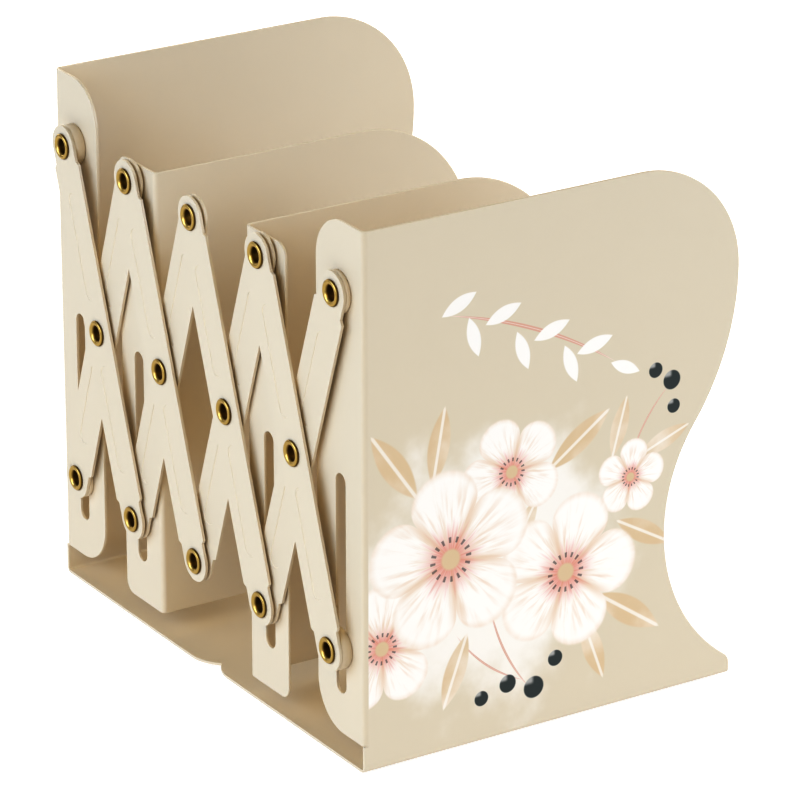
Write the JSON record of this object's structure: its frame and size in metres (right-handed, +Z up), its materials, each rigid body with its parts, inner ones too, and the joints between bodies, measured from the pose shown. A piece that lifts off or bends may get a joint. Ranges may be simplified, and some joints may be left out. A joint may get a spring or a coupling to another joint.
{
  "type": "expanding desktop book rack",
  "caption": "Desktop book rack of folded sheet steel: end plates with base flanges and hanging dividers on a scissor lattice with brass eyelets, which pulls out sideways.",
  "frame": {"origin": "on the surface that the rack stands on, at the middle of its bounding box as it stands", "axes": "+X along the lattice from the far end plate to the near one, -Y towards the lattice side, +Z up"},
  "size_m": [0.2112, 0.1616, 0.2],
  "materials": {
    "plate_coat": "satin cream powder coat",
    "link_coat": "satin cream powder coat",
    "eyelet_brass": "bright rolled brass",
    "washer_nylon": "cream nylon",
    "foot_rubber": "matt"
  },
  "bodies": {
    "far_plate": {"end_plate_far": "plate_coat", "eyelet_top_1": "eyelet_brass", "spacer_top_1": "washer_nylon"},
    "front_link_1": {"link_front_1": "link_coat", "eyelet_centre_1": "eyelet_brass", "washer_centre_1": "washer_nylon", "eyelet_bottom_2": "eyelet_brass", "washer_bottom_2": "washer_nylon"},
    "rear_link_1": {"link_rear_1": "link_coat", "eyelet_bottom_1": "eyelet_brass", "spacer_bottom_1": "washer_nylon"},
    "far_divider": {"divider_far": "plate_coat", "eyelet_top_2": "eyelet_brass", "washer_top_2": "washer_nylon", "spacer_top_2": "washer_nylon"},
    "front_link_2": {"link_front_2": "link_coat", "eyelet_centre_2": "eyelet_brass", "washer_centre_2": "washer_nylon", "eyelet_bottom_3": "eyelet_brass", "washer_bottom_3": "washer_nylon"},
    "rear_link_2": {"link_rear_2": "link_coat", "eyelet_top_3": "eyelet_brass", "washer_top_3": "washer_nylon", "spacer_bottom_2": "washer_nylon"},
    "front_link_3": {"link_front_3": "link_coat", "eyelet_centre_3": "eyelet_brass", "washer_centre_3": "washer_nylon", "eyelet_bottom_4": "eyelet_brass", "washer_bottom_4": "washer_nylon"},
    "rear_link_3": {"link_rear_3": "link_coat"},
    "near_divider": {"divider_near": "plate_coat", "eyelet_top_4": "eyelet_brass", "washer_top_4": "washer_nylon", "spacer_top_4": "washer_nylon"},
    "front_link_4": {"link_front_4": "link_coat", "eyelet_centre_4": "eyelet_brass", "washer_centre_4": "washer_nylon", "eyelet_bottom_5": "eyelet_brass", "spacer_bottom_5": "washer_nylon"},
    "rear_link_4": {"link_rear_4": "link_coat", "spacer_bottom_4": "washer_nylon"},
    "near_plate": {"end_plate_near": "plate_coat", "eyelet_top_5": "eyelet_brass", "spacer_top_5": "washer_nylon", "foot_front": "foot_rubber", "foot_back": "foot_rubber"}
  },
  "joints": [
    {"name": "expand", "type": "hinge", "parent": "far_plate", "child": "front_link_1", "pos_m": [-0.0908, -0.07425, 0.1749], "axis": [0, -1, 0], "range_deg": [-9.55, 40.05]},
    {"name": "cross_1", "type": "hinge", "parent": "front_link_1", "child": "rear_link_1", "pos_m": [-0.0681, -0.07425, 0.10953], "axis": [0, -1, 0], "range_deg": [-80.1, 19.1]},
    {"name": "far_divider_pivot", "type": "hinge", "parent": "rear_link_1", "child": "far_divider", "pos_m": [-0.0454, -0.07425, 0.1749], "axis": [0, -1, 0], "range_deg": [-9.55, 40.05]},
    {"name": "top_2", "type": "hinge", "parent": "rear_link_1", "child": "front_link_2", "pos_m": [-0.0454, -0.07425, 0.1749], "axis": [0, -1, 0], "range_deg": [-19.1, 80.1]},
    {"name": "cross_2", "type": "hinge", "parent": "front_link_2", "child": "rear_link_2", "pos_m": [-0.0227, -0.07425, 0.10953], "axis": [0, -1, 0], "range_deg": [-80.1, 19.1]},
    {"name": "top_3", "type": "hinge", "parent": "rear_link_2", "child": "front_link_3", "pos_m": [0, -0.07425, 0.1749], "axis": [0, -1, 0], "range_deg": [-19.1, 80.1]},
    {"name": "cross_3", "type": "hinge", "parent": "front_link_3", "child": "rear_link_3", "pos_m": [0.0227, -0.07425, 0.10953], "axis": [0, -1, 0], "range_deg": [-80.1, 19.1]},
    {"name": "near_divider_pivot", "type": "hinge", "parent": "rear_link_3", "child": "near_divider", "pos_m": [0.0454, -0.07425, 0.1749], "axis": [0, -1, 0], "range_deg": [-9.55, 40.05]},
    {"name": "top_4", "type": "hinge", "parent": "rear_link_3", "child": "front_link_4", "pos_m": [0.0454, -0.07425, 0.1749], "axis": [0, -1, 0], "range_deg": [-19.1, 80.1]},
    {"name": "cross_4", "type": "hinge", "parent": "front_link_4", "child": "rear_link_4", "pos_m": [0.0681, -0.07425, 0.10953], "axis": [0, -1, 0], "range_deg": [-80.1, 19.1]},
    {"name": "near_plate_pivot", "type": "hinge", "parent": "rear_link_4", "child": "near_plate", "pos_m": [0.0908, -0.07425, 0.1749], "axis": [0, -1, 0], "range_deg": [-9.55, 40.05]}
  ],
  "couplings": [
    {"joint": "cross_1", "follows": "expand", "ratio": -2},
    {"joint": "far_divider_pivot", "follows": "expand", "ratio": 1},
    {"joint": "top_2", "follows": "expand", "ratio": 2},
    {"joint": "cross_2", "follows": "expand", "ratio": -2},
    {"joint": "top_3", "follows": "expand", "ratio": 2},
    {"joint": "cross_3", "follows": "expand", "ratio": -2},
    {"joint": "near_divider_pivot", "follows": "expand", "ratio": 1},
    {"joint": "top_4", "follows": "expand", "ratio": 2},
    {"joint": "cross_4", "follows": "expand", "ratio": -2},
    {"joint": "near_plate_pivot", "follows": "expand", "ratio": 1}
  ]
}
